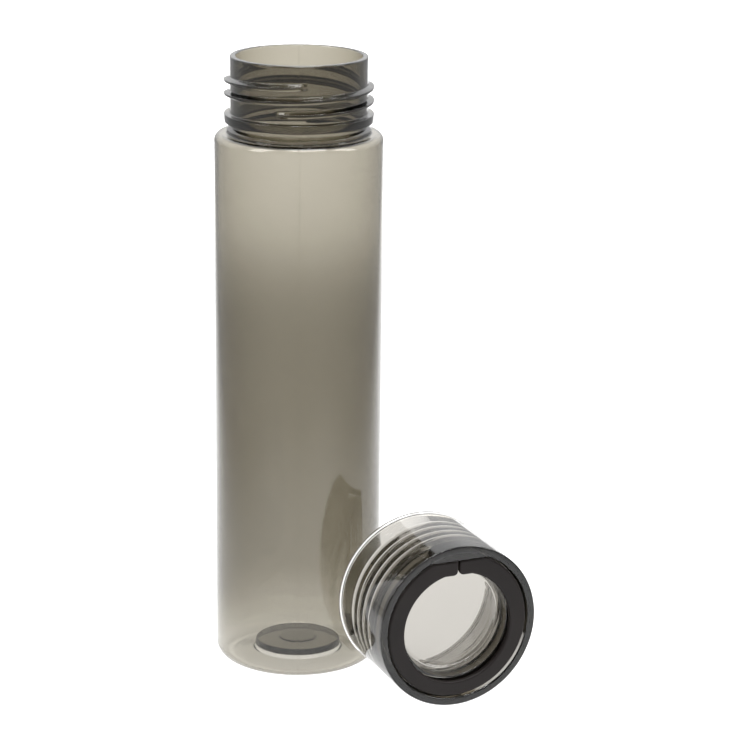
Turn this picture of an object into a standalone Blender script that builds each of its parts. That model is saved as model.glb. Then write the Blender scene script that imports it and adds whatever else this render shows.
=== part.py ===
"""A tinted clear drinking bottle with its screw cap off and lying beside it.

Lengths are in metres and +Z is up. The bottle stands on the ground. The cap lies on its side in front of it,
with its top and the carry loop towards -Y and the slit of the loop uppermost. It rests on the lip round its mouth
and on the edge of its top, so its axis leans down a little towards the top. The origin is under the middle of the
box that holds both.
"""

import math

import bmesh
import bpy
from mathutils import Matrix, Vector

# Shared by all pieces
RUNNING_GAP = 0.0003  # left between pieces that touch
OVERRUN = 0.0020  # how far a cutter passes the face it opens
BITE = 0.0005  # how far a ridge or a web is rooted in the wall that carries it
WELD_SHARE = 0.001  # of the running gap: points closer than this are one
TURN_STEPS = 48
FULL_TURN = 2.0 * math.pi

# Bottle: neck, with a thread of five turns to the inch
NECK_HEIGHT = 0.0290
NECK_RADIUS = 0.02595
NECK_WALL = 0.00225
NECK_BEND = 0.0015
RIM_ROUND = 0.0005
NECK_ROOT_STEP = 0.0013
NECK_ROOT_HEIGHT = 0.0014
RIDGE_STEP = 0.00225  # how far the bead and both threads stand out
BEAD_LEVEL = 0.0058  # from the shoulder to the bead's middle
BEAD_HEIGHT = 0.0033
THREAD_PITCH = 0.00508
THREAD_ROOT_WIDTH = 0.0026
THREAD_CREST_WIDTH = 0.0008
THREAD_TOP_DEPTH = 0.0078  # from the rim down to the middle of the thread's upper end
THREAD_TURNS = 2.07
THREAD_TOP_ANGLE = math.radians(255.5)
THREAD_FADE_TURNS = 0.07

# Bottle: body and shoulder
SHOULDER_WIDTH = 0.00605
SHOULDER_ROUND = 0.0030
BODY_HEIGHT = 0.2078  # from the ground to the shoulder
SHOULDER_WALL = 0.0011
UPPER_WALL = 0.0012
BELLY_WALL = 0.0018
MIDDLE_WALL = 0.0018
LOWER_WALL = 0.0017
HEEL_WALL = 0.0008
UPPER_LEVEL = 0.1760  # from the ground to where the wall has its upper thickness, and so on down
BELLY_LEVEL = 0.1300
MIDDLE_TOP_LEVEL = 0.0880
MIDDLE_LOW_LEVEL = 0.0650
LOWER_LEVEL = 0.0320

# Bottle: foot and the push-up in its base
FOOT_ROUND = 0.0048
FOOT_RING_WIDTH = 0.0026
PUSH_UP_RADIUS = 0.0168
PUSH_UP_DRAFT = 0.0008
PUSH_UP_HEIGHT = 0.0042
CHANNEL_RISE = 0.0018
CHANNEL_WALL = 0.0009
PUSH_UP_WALL = 0.0023
GATE_DISC_RADIUS = 0.0068
GATE_DISC_HEIGHT = 0.0004

# Cap: shell
CAP_WALL = 0.0030
CAP_EDGE_ROUND = 0.0006
CAP_LIP_STEP = 0.0006  # how far the lip round the mouth stands out
CAP_LIP_HEIGHT = 0.0014  # from the mouth's edge up to where the lip ends
CAP_SEAT_GAP = 0.0003  # above the shoulder when the cap is screwed home
THREAD_CLEARANCE = 0.0005  # between the neck's ridges and the cap's bore, and the other way round
CAP_THREAD_ROOT_WIDTH = 0.0020
CAP_THREAD_CREST_WIDTH = 0.0007
CAP_THREAD_TURNS = 3.5
CAP_THREAD_DROP = 0.0025  # from the seal's lower face to the middle of the thread's inner end
CAP_THREAD_TOP_ANGLE = math.radians(200.0)
DECK_THICKNESS = 0.0052
CUP_PLUG_CLEARANCE = 0.0008  # between the cup and the bore of the neck
CUP_WALL = 0.0017
CUP_FLOOR_WALL = 0.0042
CUP_DRAFT = 0.0010
CUP_DROP = 0.0025  # how far the cup's floor lies below the deck
CUP_CORNER_ROUND = 0.0020

# Cap: seal, carry loop and the root tab that holds the loop
SEAL_THICKNESS = 0.0019
SEAL_CHAMFER = 0.0003
LOOP_THICKNESS = 0.0024
LOOP_RECESS = 0.0005
LOOP_WIDTH = 0.0065
LOOP_HOLE_DROP = 0.0008  # how far the middle of the loop's hole lies from its outer middle, away from the slit
LOOP_SIDE_GAP = 0.0006
LOOP_EDGE_ROUND = 0.0009
LOOP_SLIT_WIDTH = 0.0005
LOOP_NOTCH_ROUND = 0.0018
LOOP_FLAT_SETBACK = 0.0021  # how far the straight length by the slit lies inside the round outline
LOOP_INNER_FLAT_SETBACK = 0.0007
HINGE_INSET = 0.0003  # from the straight edge to the line the loop bends about
TAB_HALF_WIDTH = 0.0102
TAB_END_ROUND = 0.0052
TAB_END_STEP = 0.0014  # how far the tab stops short of the seal's lower face
TAB_LET_IN = 0.0002  # how far the tab's pocket is let into the cap's wall
ROOF_THICKNESS = 0.0014
ROOF_STEP = 0.0002  # how far the roof over the tab lies below the rim

# Where the cap lies, seen from the bottle
CAP_SIDE_OFFSET = 0.0348
CAP_STAND_OFF = 0.0042

# Worked out from the sizes above: the bottle
BODY_RADIUS = NECK_RADIUS + SHOULDER_WIDTH
BOTTLE_HEIGHT = BODY_HEIGHT + NECK_HEIGHT
NECK_BORE_RADIUS = NECK_RADIUS - NECK_WALL

# Worked out: the cap, from its mouth at zero up to its top
CAP_BORE_RADIUS = NECK_RADIUS + RIDGE_STEP + THREAD_CLEARANCE
CAP_RADIUS = CAP_BORE_RADIUS + CAP_WALL
CAP_LIP_RADIUS = CAP_RADIUS + CAP_LIP_STEP
CAP_LIP_FLAT = CAP_LIP_HEIGHT - CAP_LIP_STEP
SEAL_UNDERSIDE = NECK_HEIGHT - CAP_SEAT_GAP
SEAL_TOP = SEAL_UNDERSIDE + SEAL_THICKNESS
DECK_UNDERSIDE = SEAL_TOP + RUNNING_GAP
DECK_TOP = DECK_UNDERSIDE + DECK_THICKNESS
LOOP_UNDERSIDE = DECK_TOP + RUNNING_GAP
LOOP_TOP = LOOP_UNDERSIDE + LOOP_THICKNESS
CAP_LENGTH = LOOP_TOP + LOOP_RECESS
ROOF_TOP = CAP_LENGTH - ROOF_STEP
ROOF_UNDERSIDE = ROOF_TOP - ROOF_THICKNESS
TAB_END = SEAL_UNDERSIDE + TAB_END_STEP
CUP_FLOOR_TOP = DECK_UNDERSIDE - CUP_DROP

# Worked out: the cap, across
CUP_OUTER_RADIUS = NECK_BORE_RADIUS - CUP_PLUG_CLEARANCE
CUP_MOUTH_RADIUS = CUP_OUTER_RADIUS - CUP_WALL
SEAL_INNER_RADIUS = CUP_OUTER_RADIUS + RUNNING_GAP
SEAL_OUTER_RADIUS = CAP_BORE_RADIUS - RUNNING_GAP
LOOP_OUTER_RADIUS = CAP_BORE_RADIUS - LOOP_SIDE_GAP
LOOP_INNER_RADIUS = LOOP_OUTER_RADIUS - LOOP_WIDTH
LOOP_FLAT_Y = LOOP_OUTER_RADIUS - LOOP_FLAT_SETBACK
LOOP_INNER_FLAT_Y = LOOP_INNER_RADIUS - LOOP_INNER_FLAT_SETBACK
HINGE_Y = LOOP_FLAT_Y - HINGE_INSET
TAB_FLAT_Y = LOOP_FLAT_Y + RUNNING_GAP

# Worked out: the cap rests on its lip and on the edge of its top, so its axis leans down towards the top
CAP_LEAN = math.atan(CAP_LIP_STEP / (CAP_LENGTH - CAP_EDGE_ROUND - CAP_LIP_FLAT))
CAP_MOUTH_LEVEL = CAP_LIP_RADIUS * math.cos(CAP_LEAN) + CAP_LIP_FLAT * math.sin(CAP_LEAN)
CAP_REACH = CAP_LENGTH * math.cos(CAP_LEAN) + (CAP_RADIUS - CAP_EDGE_ROUND) * math.sin(CAP_LEAN)

# Worked out: where the bottle stands, so that the box of both pieces is centred
CAP_FRONT_REACH = BODY_RADIUS + CAP_STAND_OFF + CAP_REACH
CAP_RIGHT_REACH = max(CAP_SIDE_OFFSET + CAP_LIP_RADIUS, BODY_RADIUS)
BOTTLE_X = (BODY_RADIUS - CAP_RIGHT_REACH) / 2.0
BOTTLE_Y = (CAP_FRONT_REACH - BODY_RADIUS) / 2.0


def clear_scene():
    """Remove every object from the scene."""
    for item in list(bpy.data.objects):
        bpy.data.objects.remove(item, do_unlink=True)


def make_material(name, colour, roughness, transmission):
    """Make a Principled material; no piece here is metal."""
    material = bpy.data.materials.new(name)
    material.use_nodes = True
    shader = material.node_tree.nodes["Principled BSDF"]
    shader.inputs["Base Color"].default_value = (*colour, 1.0)
    shader.inputs["Roughness"].default_value = roughness
    shader.inputs["Metallic"].default_value = 0.0
    shader.inputs["Transmission Weight"].default_value = transmission
    return material


def arc(centre, radius, start_degrees, end_degrees, steps):
    """Points on an arc in a plane, both ends included."""
    points = []
    for step in range(steps + 1):
        angle = math.radians(start_degrees + (end_degrees - start_degrees) * step / steps)
        points.append((centre[0] + radius * math.cos(angle), centre[1] + radius * math.sin(angle)))
    return points


def finish_mesh(shape, name):
    """Close up a bmesh, point its faces outwards and turn it into an object in the scene."""
    bmesh.ops.remove_doubles(shape, verts=shape.verts, dist=RUNNING_GAP * WELD_SHARE)
    bmesh.ops.recalc_face_normals(shape, faces=shape.faces)
    mesh = bpy.data.meshes.new(name)
    shape.to_mesh(mesh)
    shape.free()
    item = bpy.data.objects.new(name, mesh)
    bpy.context.collection.objects.link(item)
    return item


def turned(name, outline):
    """Spin an outline of (radius, height) points about Z. An outline may start and end on the axis."""
    shape = bmesh.new()
    corners = [shape.verts.new((radius, 0.0, height)) for radius, height in outline]
    pairs = list(zip(corners, corners[1:]))
    if outline[0][0] > 0.0:
        pairs.append((corners[-1], corners[0]))
    edges = [shape.edges.new(pair) for pair in pairs]
    bmesh.ops.spin(
        shape, geom=corners + edges, cent=(0.0, 0.0, 0.0), axis=(0.0, 0.0, 1.0),
        angle=FULL_TURN, steps=TURN_STEPS, use_merge=True,
    )
    return finish_mesh(shape, name)


def extruded(name, outline, low, high):
    """Extrude a closed outline of (x, y) points from one height to another."""
    shape = bmesh.new()
    face = shape.faces.new([shape.verts.new((x, y, low)) for x, y in outline])
    lifted = bmesh.ops.extrude_face_region(shape, geom=[face])["geom"]
    risen = [part for part in lifted if isinstance(part, bmesh.types.BMVert)]
    bmesh.ops.translate(shape, verts=risen, vec=(0.0, 0.0, high - low))
    return finish_mesh(shape, name)


def helical_ridge(name, wall_radius, step, widths, top, turns, top_angle):
    """A thread ridge on a round wall. A negative step makes it stand inwards. Both its ends fade into the wall."""
    shape = bmesh.new()
    side = math.copysign(1.0, step)
    rooted = wall_radius - side * BITE
    root_half, crest_half = widths[0] / 2.0, widths[1] / 2.0
    count = round(turns * TURN_STEPS)
    rings = []
    for index in range(count + 1):
        turned_back = index / count * turns
        from_end = min(turned_back, turns - turned_back)
        grown = min(1.0, from_end / THREAD_FADE_TURNS)
        crest = rooted + side * BITE / 2.0 + (step + side * BITE / 2.0) * math.sin(grown * math.pi / 2.0)
        shoulder = crest - side * crest_half / 2.0
        angle = top_angle - turned_back * FULL_TURN
        height = top - turned_back * THREAD_PITCH
        section = (
            (rooted, -root_half), (shoulder, -crest_half), (crest, -crest_half / 2.0),
            (crest, crest_half / 2.0), (shoulder, crest_half), (rooted, root_half),
        )
        rings.append([
            shape.verts.new((radius * math.cos(angle), radius * math.sin(angle), height + rise))
            for radius, rise in section
        ])
    for near, far in zip(rings, rings[1:]):
        for corner in range(len(near)):
            following = (corner + 1) % len(near)
            shape.faces.new((near[corner], near[following], far[following], far[corner]))
    shape.faces.new(rings[0])
    shape.faces.new(rings[-1])
    return as_tool(finish_mesh(shape, name))


def as_tool(item):
    """Mark a shape that only cuts or joins other shapes."""
    item.hide_render = True
    item.display_type = "WIRE"
    return item


def combine(item, tool, operation):
    """Add an exact Boolean with a tool shape."""
    modifier = item.modifiers.new(tool.name, "BOOLEAN")
    modifier.solver = "EXACT"
    modifier.operation = operation
    modifier.object = tool


def dress(item, material):
    """Give a piece its material and smooth shading, keeping its corners sharp."""
    item.data.materials.append(material)
    item.data.shade_smooth()
    item.data.set_sharp_from_angle(angle=math.radians(30.0))


def push_up_outline(top_lift, channel_lift):
    """The push-up's top edge and its foot, on a surface that lies the given lifts above the underside."""
    return [
        (PUSH_UP_RADIUS - PUSH_UP_DRAFT, PUSH_UP_HEIGHT + top_lift),
        (PUSH_UP_RADIUS, CHANNEL_RISE + channel_lift),
    ]


def make_bottle(material):
    """The bottle: one blow-moulded shell from the push-up in its base to the rim of its neck."""
    foot_outer = BODY_RADIUS - FOOT_ROUND
    foot_inner = foot_outer - FOOT_RING_WIDTH
    bead_low = BODY_HEIGHT + BEAD_LEVEL - BEAD_HEIGHT / 2.0
    bead_high = bead_low + BEAD_HEIGHT
    bead_radius = NECK_RADIUS + RIDGE_STEP
    root_radius = NECK_RADIUS + NECK_ROOT_STEP
    root_top = BODY_HEIGHT + NECK_ROOT_HEIGHT
    round_centre = BODY_RADIUS - SHOULDER_ROUND
    inner_round = SHOULDER_ROUND - SHOULDER_WALL
    inner_shoulder = BODY_HEIGHT - SHOULDER_WALL
    inner_foot_round = FOOT_ROUND - HEEL_WALL
    floor_top = PUSH_UP_HEIGHT + PUSH_UP_WALL + GATE_DISC_HEIGHT

    outline = [(0.0, PUSH_UP_HEIGHT)]
    outline += push_up_outline(0.0, 0.0)
    outline += [(foot_inner, 0.0)]
    outline += arc((foot_outer, FOOT_ROUND), FOOT_ROUND, -90.0, 0.0, 5)
    outline += arc((round_centre, BODY_HEIGHT - SHOULDER_ROUND), SHOULDER_ROUND, 0.0, 90.0, 5)
    outline += [(root_radius, BODY_HEIGHT), (root_radius, root_top)]
    outline += [(NECK_RADIUS, root_top + NECK_ROOT_STEP), (NECK_RADIUS, bead_low)]
    outline += [(bead_radius, bead_low), (bead_radius, bead_high)]
    outline += [(NECK_RADIUS, bead_high)]
    outline += arc((NECK_RADIUS - RIM_ROUND, BOTTLE_HEIGHT - RIM_ROUND), RIM_ROUND, 0.0, 90.0, 2)
    outline += arc((NECK_BORE_RADIUS + RIM_ROUND, BOTTLE_HEIGHT - RIM_ROUND), RIM_ROUND, 90.0, 180.0, 2)
    outline += arc((NECK_BORE_RADIUS + NECK_BEND, inner_shoulder + NECK_BEND), NECK_BEND, 180.0, 270.0, 3)
    outline += arc((round_centre, inner_shoulder - inner_round), inner_round, 90.0, 0.0, 3)
    outline += [(BODY_RADIUS - wall, level) for level, wall in (
        (UPPER_LEVEL, UPPER_WALL), (BELLY_LEVEL, BELLY_WALL), (MIDDLE_TOP_LEVEL, MIDDLE_WALL),
        (MIDDLE_LOW_LEVEL, MIDDLE_WALL), (LOWER_LEVEL, LOWER_WALL),
    )]
    outline += arc((foot_outer, FOOT_ROUND), inner_foot_round, 0.0, -90.0, 4)
    outline += reversed(push_up_outline(PUSH_UP_WALL, CHANNEL_WALL))
    outline += [(GATE_DISC_RADIUS + GATE_DISC_HEIGHT, PUSH_UP_HEIGHT + PUSH_UP_WALL)]
    outline += [(GATE_DISC_RADIUS, floor_top), (0.0, floor_top)]

    bottle = turned("bottle_body", outline)
    thread = helical_ridge(
        "neck_thread_tool", NECK_RADIUS, RIDGE_STEP, (THREAD_ROOT_WIDTH, THREAD_CREST_WIDTH),
        BOTTLE_HEIGHT - THREAD_TOP_DEPTH, THREAD_TURNS, THREAD_TOP_ANGLE,
    )
    combine(bottle, thread, "UNION")
    for item in (bottle, thread):
        item.location = (BOTTLE_X, BOTTLE_Y, 0.0)
    dress(bottle, material)


def half_moon(name, radius, flat_y, low, high):
    """A prism over the part of a disc that lies beyond a straight line across it."""
    reach = math.degrees(math.asin(flat_y / radius))
    return extruded(name, arc((0.0, 0.0), radius, reach, 180.0 - reach, 12), low, high)


def tab_limit(name, clearance):
    """A bar across the cap, square to the tab, which gives the tab its sides and its rounded lower end."""
    half_width = TAB_HALF_WIDTH + clearance
    end_round = TAB_END_ROUND + clearance
    round_x = half_width - end_round
    round_level = TAB_END - clearance + end_round
    top = CAP_LENGTH + OVERRUN
    outline = [(half_width, top), (-half_width, top)]
    outline += arc((-round_x, round_level), end_round, 180.0, 270.0, 5)
    outline += arc((round_x, round_level), end_round, 270.0, 360.0, 5)
    bar = extruded(name, outline, -CAP_RADIUS - OVERRUN, 0.0)
    bar.data.transform(Matrix.Rotation(math.radians(90.0), 4, "X"))
    return as_tool(bar)


def make_cap_shell(material, holder):
    """The cap: skirt with an inner thread, deck, groove for the loop, and a cup that plugs the neck."""
    cup_low_radius = CUP_MOUTH_RADIUS - CUP_DRAFT
    corner_centre = (cup_low_radius - CUP_CORNER_ROUND, CUP_FLOOR_TOP + CUP_CORNER_ROUND)
    outer_corner_round = CUP_CORNER_ROUND + CUP_WALL
    outer_corner_centre = (corner_centre[0], CUP_FLOOR_TOP - CUP_FLOOR_WALL + outer_corner_round)
    edge = CAP_EDGE_ROUND

    outline = [(0.0, CUP_FLOOR_TOP)]
    outline += arc(corner_centre, CUP_CORNER_ROUND, -90.0, 0.0, 3)
    outline += [(CUP_MOUTH_RADIUS, DECK_TOP), (CAP_BORE_RADIUS, DECK_TOP)]
    outline += arc((CAP_BORE_RADIUS + edge, CAP_LENGTH - edge), edge, 180.0, 90.0, 2)
    outline += arc((CAP_RADIUS - edge, CAP_LENGTH - edge), edge, 90.0, 0.0, 2)
    outline += [(CAP_RADIUS, CAP_LIP_HEIGHT), (CAP_LIP_RADIUS, CAP_LIP_FLAT)]
    outline += arc((CAP_LIP_RADIUS - edge, edge), edge, 0.0, -90.0, 2)
    outline += arc((CAP_BORE_RADIUS + edge, edge), edge, -90.0, -180.0, 2)
    outline += [(CAP_BORE_RADIUS, DECK_UNDERSIDE), (CUP_OUTER_RADIUS, DECK_UNDERSIDE)]
    outline += arc(outer_corner_centre, outer_corner_round, 0.0, -90.0, 3)
    outline += [(0.0, CUP_FLOOR_TOP - CUP_FLOOR_WALL)]

    shell = turned("cap_shell", outline)
    thread = helical_ridge(
        "cap_thread_tool", CAP_BORE_RADIUS, -RIDGE_STEP, (CAP_THREAD_ROOT_WIDTH, CAP_THREAD_CREST_WIDTH),
        SEAL_UNDERSIDE - CAP_THREAD_DROP, CAP_THREAD_TURNS, CAP_THREAD_TOP_ANGLE,
    )
    roof = as_tool(half_moon(
        "roof_tool", CAP_BORE_RADIUS + BITE, TAB_FLAT_Y, ROOF_UNDERSIDE - RUNNING_GAP, ROOF_TOP,
    ))
    pocket = as_tool(half_moon(
        "tab_pocket_tool", CAP_BORE_RADIUS + TAB_LET_IN, TAB_FLAT_Y - RUNNING_GAP,
        TAB_END - OVERRUN, ROOF_UNDERSIDE,
    ))
    pocket_limit = tab_limit("tab_pocket_limit", RUNNING_GAP)
    combine(pocket, pocket_limit, "INTERSECT")
    combine(shell, thread, "UNION")
    combine(shell, roof, "UNION")
    combine(shell, pocket, "DIFFERENCE")
    for item in (shell, thread, roof, pocket, pocket_limit):
        item.parent = holder
    dress(shell, material)


def make_cap_seal(material, holder):
    """The flat ring that the deck presses on the rim of the neck, cut straight where it passes the tab."""
    inner, outer = SEAL_INNER_RADIUS, SEAL_OUTER_RADIUS
    outline = [
        (inner, SEAL_UNDERSIDE + SEAL_CHAMFER), (inner + SEAL_CHAMFER, SEAL_UNDERSIDE),
        (outer - SEAL_CHAMFER, SEAL_UNDERSIDE), (outer, SEAL_UNDERSIDE + SEAL_CHAMFER),
        (outer, SEAL_TOP), (inner, SEAL_TOP),
    ]
    seal = turned("cap_seal", outline)
    flat = as_tool(half_moon(
        "seal_flat_tool", outer + OVERRUN, TAB_FLAT_Y - RUNNING_GAP,
        SEAL_UNDERSIDE - OVERRUN, SEAL_TOP + OVERRUN,
    ))
    combine(seal, flat, "DIFFERENCE")
    for item in (seal, flat):
        item.parent = holder
    dress(seal, material)


def make_loop_root(material, holder):
    """The tab on which the loop bends. It is let into the cap's wall beside the loop's straight edge."""
    tab = half_moon(
        "loop_root", CAP_BORE_RADIUS + TAB_LET_IN - RUNNING_GAP, TAB_FLAT_Y,
        TAB_END - OVERRUN, ROOF_UNDERSIDE - RUNNING_GAP,
    )
    limit = tab_limit("loop_root_limit", 0.0)
    combine(tab, limit, "INTERSECT")
    for item in (tab, limit):
        item.parent = holder
    dress(tab, material)


def loop_outline():
    """The C shape of the loop from above: round, with a straight length to each side of the slit."""
    half_slit = LOOP_SLIT_WIDTH / 2.0
    outer_start = math.degrees(math.asin(LOOP_FLAT_Y / LOOP_OUTER_RADIUS))
    inner_start = math.degrees(math.asin(LOOP_INNER_FLAT_Y / LOOP_INNER_RADIUS))
    notch_x = half_slit + LOOP_NOTCH_ROUND
    notch_y = LOOP_INNER_FLAT_Y - LOOP_HOLE_DROP + LOOP_NOTCH_ROUND
    outline = [(half_slit, LOOP_FLAT_Y)]
    outline += arc((0.0, 0.0), LOOP_OUTER_RADIUS, outer_start, -180.0 - outer_start, TURN_STEPS)
    outline += [(-half_slit, LOOP_FLAT_Y)]
    outline += arc((-notch_x, notch_y), LOOP_NOTCH_ROUND, 0.0, -90.0, 3)
    outline += arc((0.0, -LOOP_HOLE_DROP), LOOP_INNER_RADIUS, -180.0 - inner_start, inner_start, TURN_STEPS)
    outline += arc((notch_x, notch_y), LOOP_NOTCH_ROUND, -90.0, -180.0, 3)
    return outline


def make_carry_loop(material, holder):
    """The carry loop, with its origin on the line that it bends about."""
    loop = extruded("carry_loop", loop_outline(), LOOP_UNDERSIDE, LOOP_TOP)
    hinge = Vector((0.0, HINGE_Y, LOOP_TOP))
    loop.data.transform(Matrix.Translation(-hinge))
    loop.location = hinge
    loop.parent = holder
    rounding = loop.modifiers.new("rounded_edges", "BEVEL")
    rounding.width = LOOP_EDGE_ROUND
    rounding.segments = 2
    rounding.limit_method = "ANGLE"
    rounding.angle_limit = math.radians(60.0)
    dress(loop, material)


def main():
    clear_scene()
    tinted = make_material("tinted_clear_plastic", (0.46, 0.43, 0.38), 0.06, 0.85)
    black = make_material("black_soft_plastic", (0.025, 0.023, 0.023), 0.45, 0.0)
    rubber = make_material("grey_seal_rubber", (0.16, 0.155, 0.145), 0.60, 0.0)
    make_bottle(tinted)

    holder = bpy.data.objects.new("cap_axis", None)
    bpy.context.collection.objects.link(holder)
    holder.location = (BOTTLE_X + CAP_SIDE_OFFSET, BOTTLE_Y - BODY_RADIUS - CAP_STAND_OFF, CAP_MOUTH_LEVEL)
    holder.rotation_euler = (math.radians(90.0) + CAP_LEAN, 0.0, 0.0)
    make_cap_shell(tinted, holder)
    make_cap_seal(rubber, holder)
    make_loop_root(black, holder)
    make_carry_loop(black, holder)


main()
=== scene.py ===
"""Looks of a tinted clear drinking bottle and of the screw cap that lies beside it.

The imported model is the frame: the bottle stands on the ground, and the cap lies on its side in front
of it. Every piece here replaces the node of the frame that has its shape, with a finer mesh and a
procedural material.
"""
import math

import bmesh
import bpy
from bpy.props import FloatProperty, FloatVectorProperty, IntProperty, PointerProperty
from mathutils import Matrix, Vector


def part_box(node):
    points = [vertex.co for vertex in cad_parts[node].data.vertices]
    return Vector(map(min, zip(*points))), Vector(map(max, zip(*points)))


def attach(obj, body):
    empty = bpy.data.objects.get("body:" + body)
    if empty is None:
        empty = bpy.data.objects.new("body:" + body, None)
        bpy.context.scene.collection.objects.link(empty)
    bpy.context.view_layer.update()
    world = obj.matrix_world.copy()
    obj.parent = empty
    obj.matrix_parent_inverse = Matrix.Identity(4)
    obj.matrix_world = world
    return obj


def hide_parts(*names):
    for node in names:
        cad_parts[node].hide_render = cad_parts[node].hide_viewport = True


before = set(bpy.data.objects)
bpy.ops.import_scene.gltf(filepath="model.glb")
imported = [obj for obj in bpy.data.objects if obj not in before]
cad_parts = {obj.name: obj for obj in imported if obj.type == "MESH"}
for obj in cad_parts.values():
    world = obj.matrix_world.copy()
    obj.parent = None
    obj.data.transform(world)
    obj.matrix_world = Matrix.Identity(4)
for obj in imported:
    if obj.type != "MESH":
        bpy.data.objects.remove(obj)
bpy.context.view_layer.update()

bl_info = {
    "name": "Tinted bottle with screw cap",
    "version": (1, 0, 0),
    "blender": (4, 5, 0),
    "location": "3D View > Sidebar > Bottle",
    "description": "Makes a tinted clear drinking bottle, its screw cap with a carry loop, and a pale studio",
    "category": "Add Mesh",
}

# Places that the frame gives
BOTTLE_LOW, BOTTLE_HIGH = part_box("bottle_body")
CAP_LOW, CAP_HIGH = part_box("cap_shell")
BOTTLE_AXIS = ((BOTTLE_LOW + BOTTLE_HIGH) / 2.0).xy
BOTTLE_HEIGHT = BOTTLE_HIGH.z
CAP_LIP_RADIUS = (CAP_HIGH.x - CAP_LOW.x) / 2.0

# Numbers that hold everywhere
FULL_TURN = 2.0 * math.pi
PER_METRE = 1000.0  # turns an amount per millimetre into one per metre
WELD = 2.0e-6  # points closer than this become one
SHARP_ANGLE = math.radians(40.0)  # edges that turn by more stay sharp

# Steps of the meshes
FILLET_STEPS = 4
CAP_FILLET_STEPS = 5
OUTER_ROUND_STEPS = 12
INNER_ROUND_STEPS = 8
BODY_ROWS = 5  # up the outside of the body
WALL_ROWS = 40  # down its inside
HALF_MOON_STEPS = 48
TAB_ROUND_STEPS = 16
BEVEL_SEGMENTS = 5
BEVEL_ANGLE = math.radians(60.0)  # edges that turn by more are rounded

# Shares of other sizes
THREAD_FADE_TURNS = 0.07  # turns over which a thread rises from the wall at each end
SECTION_MARGIN = 1.6  # of the ridge's round, by which its section reaches past its flanks
CREST_ROUND_SHARE = 0.8  # of the ridge's round
CORNER_ROUND_SHARE = 0.9  # of the round of the corner next to it
CUP_ROUND_SHARE = 0.8  # of the cup's wall, added to its inside round for the outside
SEAL_TOP_SHARE = 0.5  # of the seal's round
TOOL_REACH = 1.1  # of the cap's size, so that a tool passes right through it

# How far the tools pass the faces that they cut or join
TOOL_OVERRUN = 0.002
ROOF_BITE = 0.0005

# The noise behind the moulded surface
NOISE_DETAIL = 3.0
NOISE_LOW, NOISE_HIGH = 0.3, 0.7
ABSORPTION_MARGIN = 1.1  # keeps each channel of the absorption's colour above zero

# The floor
FLOOR_HALF_SIZE = 12.0
FLOOR_ROUGHNESS = 0.8

# Where the floor's light changes, in metres from the middle: along the camera's view, and to each side
FRONT_REACH, MIDDLE_REACH, BACK_REACH = (-0.40, -0.16), (0.08, 0.26), (0.50, 0.80)
SIDE_REACH = (0.13, 0.36)

# Where the light of the surroundings changes, on a ball of radius 1
SKY_RISE, SKY_TOP = (0.0, 0.45), (0.60, 0.90)
SKY_FRONT = (-0.3, 0.3)

# Each softbox: name, degrees round from the camera's side, degrees above the ground, distance, size,
# and its share of the power
SOFT_BOXES = (
    ("left_softbox", -62.0, 40.0, 1.4, (0.5, 1.0), 1.0),
    ("right_softbox", 78.0, 40.0, 1.4, (0.4, 1.0), 0.8),
    ("top_softbox", 20.0, 75.0, 1.2, (0.7, 0.7), 1.2),
)
LIGHTS_AIM = (0.0, 0.0, 0.12)

# The camera, in millimetres and metres
SENSOR_WIDTH = 36.0
CLIP_END = 50.0


def length(name, default, description):
    """A property that holds a length in metres."""
    return FloatProperty(name=name, description=description, default=default, unit="LENGTH", precision=5)


def angle(name, degrees, description):
    """A property that holds an angle, given in degrees."""
    return FloatProperty(name=name, description=description, default=math.radians(degrees), unit="ROTATION")


def number(name, default, description, unit="NONE"):
    """A property that holds a plain number or a power."""
    return FloatProperty(name=name, description=description, default=default, unit=unit)


def triple(name, default, description, subtype="NONE"):
    """A property that holds a colour, an amount for each colour channel, or a place."""
    return FloatVectorProperty(name=name, description=description, default=default, size=3, subtype=subtype)


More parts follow.
